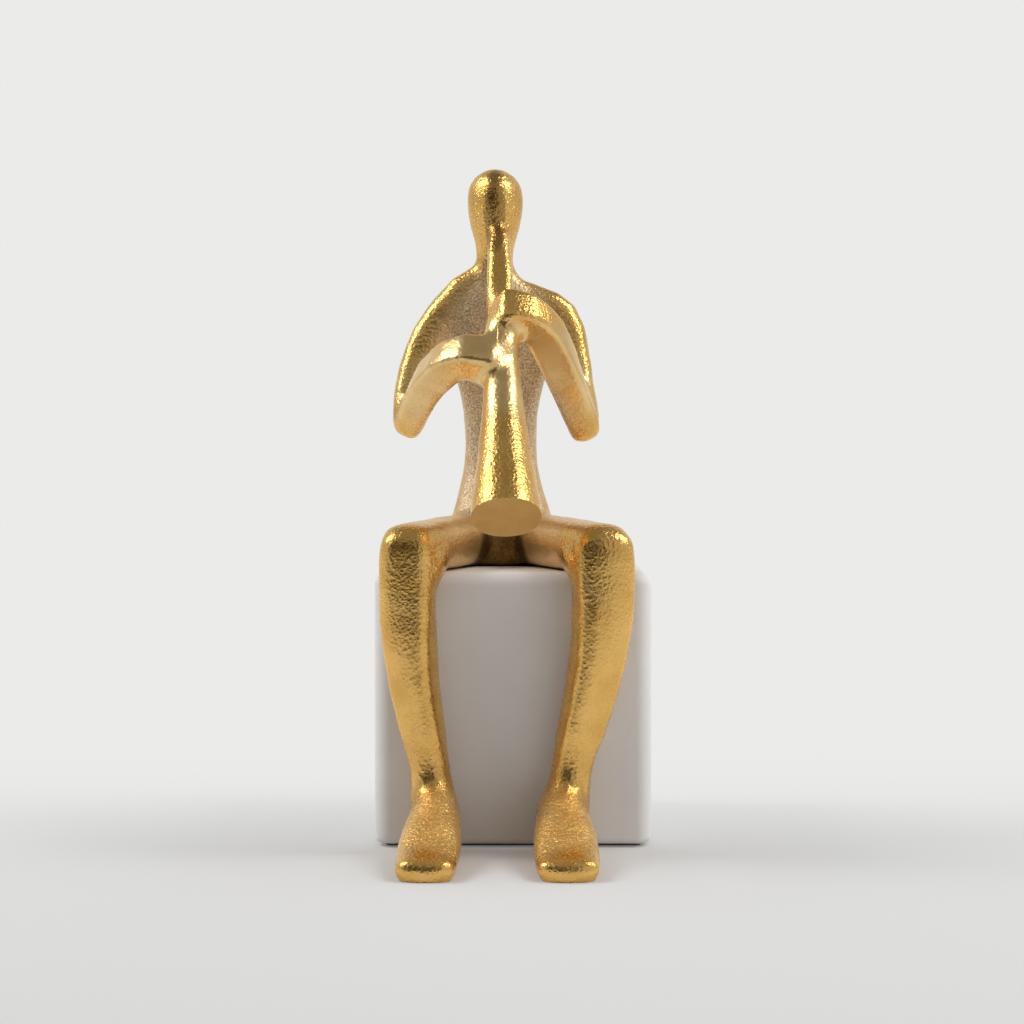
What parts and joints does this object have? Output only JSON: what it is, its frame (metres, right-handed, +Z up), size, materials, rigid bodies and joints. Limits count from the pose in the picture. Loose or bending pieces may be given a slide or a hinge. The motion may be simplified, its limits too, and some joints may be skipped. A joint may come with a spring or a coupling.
{
  "type": "seated musician figurine",
  "caption": "Gold cast figure of a seated musician who plays a long straight horn, fixed on a white block with a felt base; stands on a table or shelf.",
  "frame": {"origin": "middle of the felt base under the block, on the table", "axes": "+Z up, -Y the way the figure faces, +X to the figure's left"},
  "size_m": [0.103, 0.1687, 0.257],
  "materials": {
    "gold_casting": "gold finish over a pebbled sand-cast skin",
    "white_block": "matte white paint",
    "felt": "pressed felt",
    "steel": "plain bright steel"
  },
  "bodies": {
    "root": {"torso": "gold_casting", "head": "gold_casting", "horn": "gold_casting", "right_arm": "gold_casting", "left_arm": "gold_casting", "right_leg": "gold_casting", "left_leg": "gold_casting", "neck_dowel": "steel", "mouth_dowel": "steel", "right_shoulder_dowel": "steel", "left_shoulder_dowel": "steel", "right_hand_dowel": "steel", "left_hand_dowel": "steel", "right_hip_dowel": "steel", "left_hip_dowel": "steel", "tie_rod": "steel", "tie_rod_washer": "steel", "tie_rod_nut": "steel", "seat_block": "white_block", "base_felt": "felt"}
  },
  "joints": []
}
